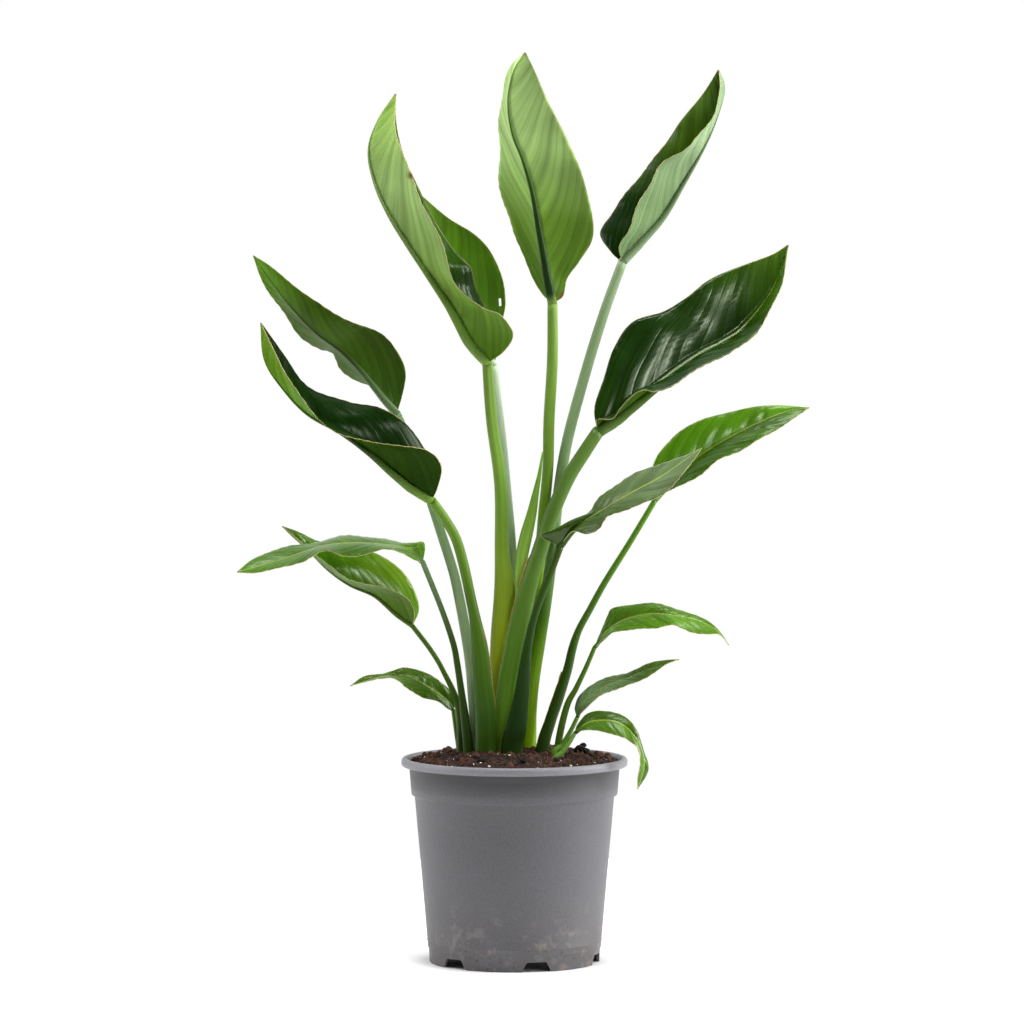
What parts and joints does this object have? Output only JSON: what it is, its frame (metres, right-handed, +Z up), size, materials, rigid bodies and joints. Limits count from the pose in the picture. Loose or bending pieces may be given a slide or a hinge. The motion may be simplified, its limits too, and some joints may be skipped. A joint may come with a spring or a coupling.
{
  "type": "potted bird of paradise plant",
  "caption": "Upright clump of paddle-shaped leaves on long stalks, with a rolled new leaf, growing from soil in a round tapered nursery pot with a rolled rim and notched foot.",
  "frame": {"origin": "middle of the plant's overall width and depth, on the surface that the pot stands on", "axes": "+Z up; -Y towards the side that faces the viewer; +X to the viewer's right. The pot's own axis is 10.5 mm to the -X side of the origin"},
  "size_m": [0.5288, 0.21, 0.8388],
  "materials": {
    "pot_plastic": "matte grey, injection moulded",
    "leaf_stalk": "smooth, slightly waxy green",
    "leaf_blade": "glossy dark green above, matte lighter green below",
    "new_leaf": "smooth yellow-green",
    "potting_soil": "loose dark crumbs with pale specks",
    "rootstock": "rough pale fleshy root"
  },
  "bodies": {
    "root": {"pot": "pot_plastic", "leaf_01_stalk": "leaf_stalk", "leaf_01_blade": "leaf_blade", "leaf_02_stalk": "leaf_stalk", "leaf_02_blade": "leaf_blade", "leaf_03_stalk": "leaf_stalk", "leaf_03_blade": "leaf_blade", "leaf_04_stalk": "leaf_stalk", "leaf_04_blade": "leaf_blade", "leaf_05_stalk": "leaf_stalk", "leaf_05_blade": "leaf_blade", "leaf_06_stalk": "leaf_stalk", "leaf_06_blade": "leaf_blade", "leaf_07_stalk": "leaf_stalk", "leaf_07_blade": "leaf_blade", "leaf_08_stalk": "leaf_stalk", "leaf_08_blade": "leaf_blade", "leaf_09_stalk": "leaf_stalk", "leaf_09_blade": "leaf_blade", "leaf_10_stalk": "leaf_stalk", "leaf_10_blade": "leaf_blade", "leaf_11_stalk": "leaf_stalk", "leaf_11_blade": "leaf_blade", "leaf_12_stalk": "leaf_stalk", "leaf_12_blade": "leaf_blade", "leaf_13_stalk": "leaf_stalk", "leaf_13_blade": "leaf_blade", "leaf_14_stalk": "leaf_stalk", "leaf_14_blade": "leaf_blade", "leaf_15_stalk": "leaf_stalk", "leaf_15_blade": "leaf_blade", "new_leaf": "new_leaf", "soil": "potting_soil", "rootstock": "rootstock"}
  },
  "joints": []
}
